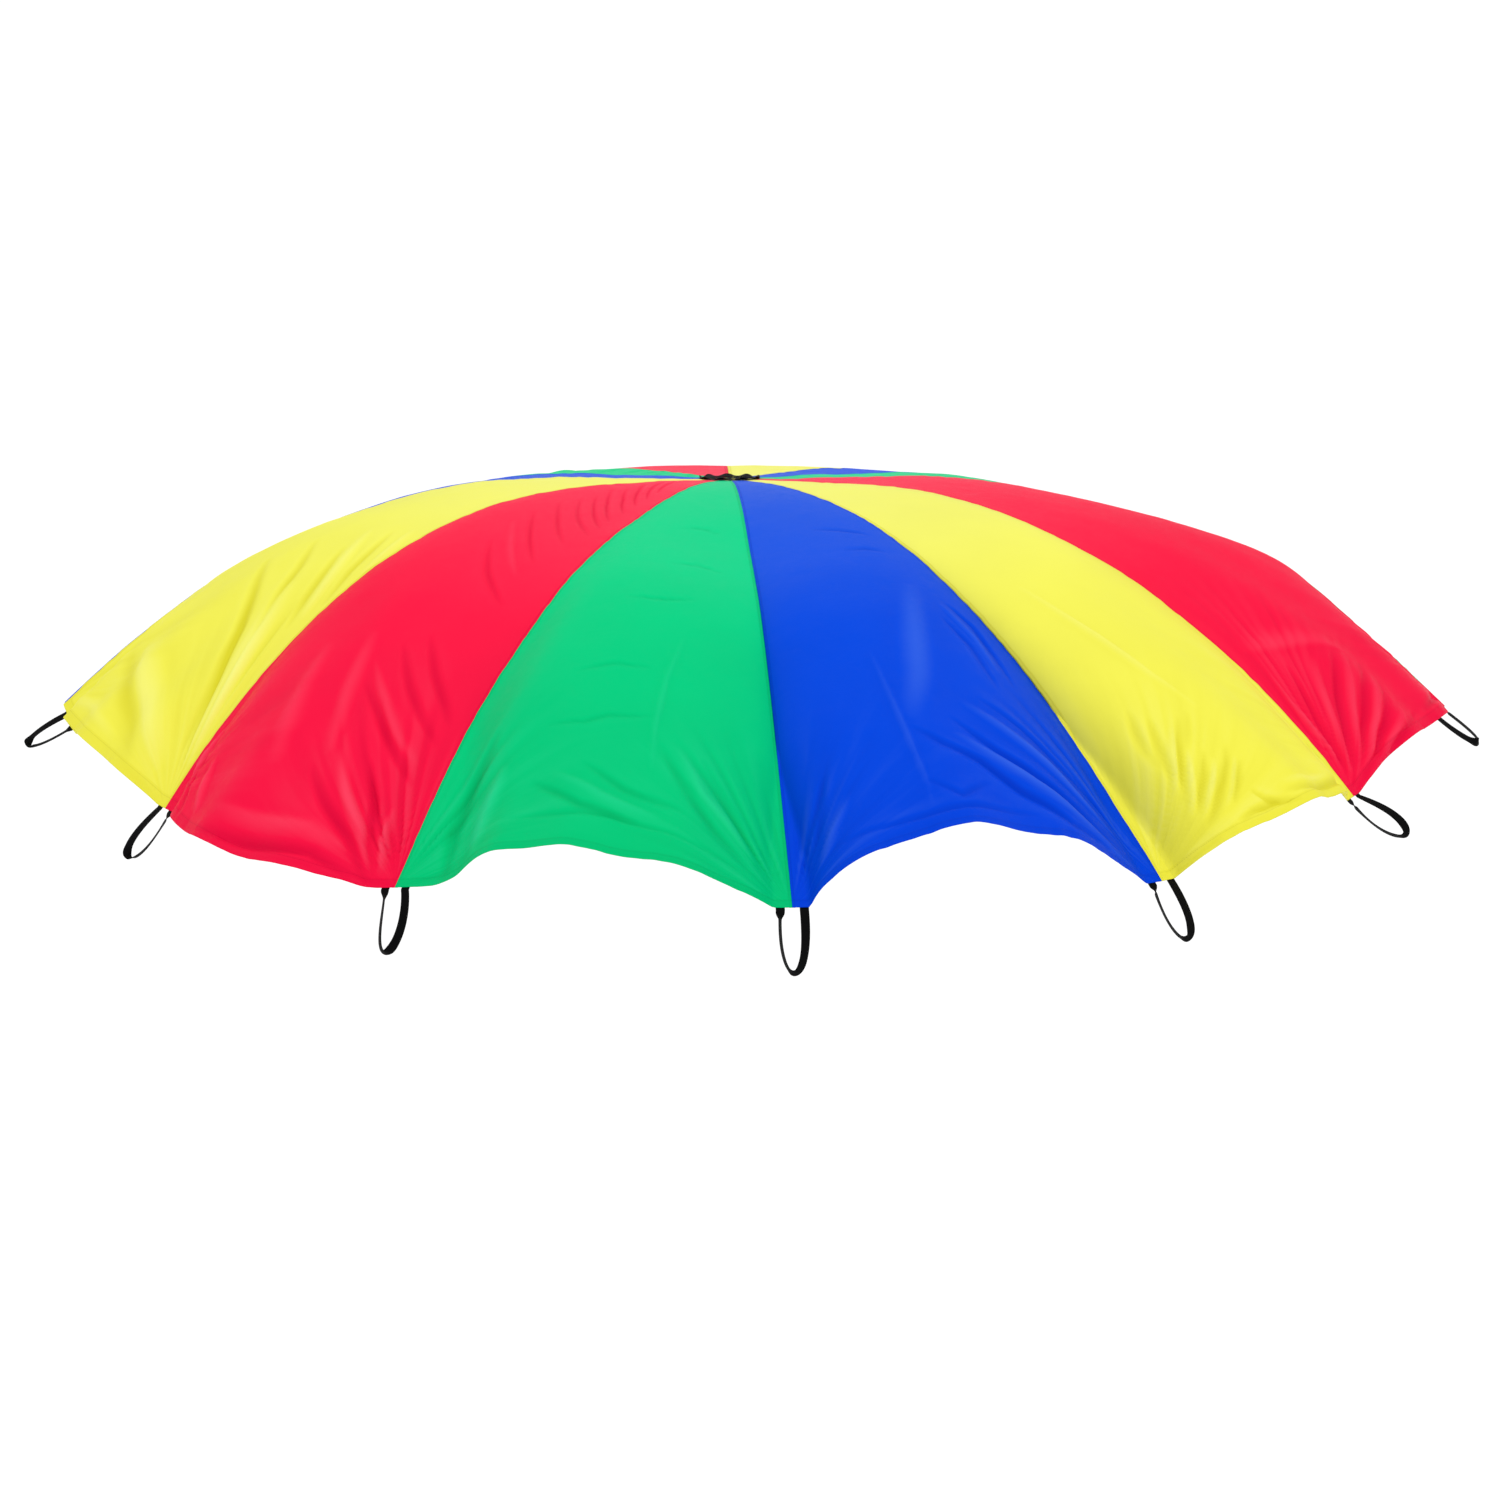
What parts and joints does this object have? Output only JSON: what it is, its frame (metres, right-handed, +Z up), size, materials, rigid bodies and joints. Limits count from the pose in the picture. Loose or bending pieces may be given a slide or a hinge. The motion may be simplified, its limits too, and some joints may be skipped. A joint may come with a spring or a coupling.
{
  "type": "play parachute",
  "caption": "Domed play parachute of four-colour cloth gores round a small net vent, with webbing loop handles hanging from the seams round its hem.",
  "frame": {"origin": "centre of the ring of loop handles, level with the hem's corners", "axes": "+Z up, through the crown of the dome; -Y towards the front in the picture; +X to the right seen from the front"},
  "size_m": [3.5662, 3.4819, 0.7359],
  "materials": {
    "yellow_cloth": "thin woven polyester with a soft satin sheen",
    "red_cloth": "thin woven polyester with a soft satin sheen",
    "green_cloth": "thin woven polyester with a soft satin sheen",
    "blue_cloth": "thin woven polyester with a soft satin sheen",
    "black_webbing": "matte flat-woven webbing",
    "black_net": "open square net",
    "black_binding": "matte folded tape"
  },
  "bodies": {
    "canopy": {"gore_01": "yellow_cloth", "gore_02": "red_cloth", "gore_03": "green_cloth", "gore_04": "blue_cloth", "gore_05": "yellow_cloth", "gore_06": "red_cloth", "gore_07": "green_cloth", "gore_08": "blue_cloth", "gore_09": "yellow_cloth", "gore_10": "red_cloth", "gore_11": "green_cloth", "gore_12": "blue_cloth", "handle_01_tails": "black_webbing", "handle_02_tails": "black_webbing", "handle_03_tails": "black_webbing", "handle_04_tails": "black_webbing", "handle_05_tails": "black_webbing", "handle_06_tails": "black_webbing", "handle_07_tails": "black_webbing", "handle_08_tails": "black_webbing", "handle_09_tails": "black_webbing", "handle_10_tails": "black_webbing", "handle_11_tails": "black_webbing", "handle_12_tails": "black_webbing", "vent_net": "black_net", "vent_binding_top": "black_binding", "vent_binding_bottom": "black_binding"},
    "handle_01": {"handle_01_loop": "black_webbing"},
    "handle_02": {"handle_02_loop": "black_webbing"},
    "handle_03": {"handle_03_loop": "black_webbing"},
    "handle_04": {"handle_04_loop": "black_webbing"},
    "handle_05": {"handle_05_loop": "black_webbing"},
    "handle_06": {"handle_06_loop": "black_webbing"},
    "handle_07": {"handle_07_loop": "black_webbing"},
    "handle_08": {"handle_08_loop": "black_webbing"},
    "handle_09": {"handle_09_loop": "black_webbing"},
    "handle_10": {"handle_10_loop": "black_webbing"},
    "handle_11": {"handle_11_loop": "black_webbing"},
    "handle_12": {"handle_12_loop": "black_webbing"}
  },
  "joints": [
    {"name": "handle_01_swing", "type": "hinge", "parent": "canopy", "child": "handle_01", "pos_m": [-1.66744, -0.05053, 0.00453], "axis": [-0.3105, 0.8687, 0.3859], "range_deg": [-120, 90]},
    {"name": "handle_02_swing", "type": "hinge", "parent": "canopy", "child": "handle_02", "pos_m": [-1.39487, -0.80531, -0.00881], "axis": [-0.498, 0.8672, 0.0021], "range_deg": [-110, 100]},
    {"name": "handle_03_swing", "type": "hinge", "parent": "canopy", "child": "handle_03", "pos_m": [-0.8571, -1.48648, -0.00039], "axis": [-0.8511, 0.4985, -0.1647], "range_deg": [-64, 146]},
    {"name": "handle_04_swing", "type": "hinge", "parent": "canopy", "child": "handle_04", "pos_m": [0, -1.70005, 0.0062], "axis": [-1, -0.0037, 0.0017], "range_deg": [-60, 150]},
    {"name": "handle_05_swing", "type": "hinge", "parent": "canopy", "child": "handle_05", "pos_m": [0.83267, -1.44222, -0.02451], "axis": [-0.8614, -0.5079, 0.0022], "range_deg": [-94, 116]},
    {"name": "handle_06_swing", "type": "hinge", "parent": "canopy", "child": "handle_06", "pos_m": [1.36311, -0.787, -0.02493], "axis": [-0.5033, -0.8641, -0.0007], "range_deg": [-121, 89]},
    {"name": "handle_07_swing", "type": "hinge", "parent": "canopy", "child": "handle_07", "pos_m": [1.69342, -0.03167, -0.023], "axis": [-0.5468, -0.836, -0.0462], "range_deg": [-119, 91]},
    {"name": "handle_08_swing", "type": "hinge", "parent": "canopy", "child": "handle_08", "pos_m": [1.41469, 0.8168, 0.00063], "axis": [0.5036, -0.8639, -0.0021], "range_deg": [-83, 127]},
    {"name": "handle_09_swing", "type": "hinge", "parent": "canopy", "child": "handle_09", "pos_m": [0.82959, 1.43685, 0.00766], "axis": [0.8645, -0.5027, 0.0012], "range_deg": [-73, 137]},
    {"name": "handle_10_swing", "type": "hinge", "parent": "canopy", "child": "handle_10", "pos_m": [0.00001, 1.6759, -0.01588], "axis": [1, 0.0012, 0.0021], "range_deg": [-68, 142]},
    {"name": "handle_11_swing", "type": "hinge", "parent": "canopy", "child": "handle_11", "pos_m": [-0.82093, 1.42186, -0.02117], "axis": [0.8641, 0.5033, -0.0014], "range_deg": [-83, 127]},
    {"name": "handle_12_swing", "type": "hinge", "parent": "canopy", "child": "handle_12", "pos_m": [-1.40699, 0.81233, 0.00206], "axis": [0.5029, 0.8644, -0.0012], "range_deg": [-97, 113]}
  ]
}
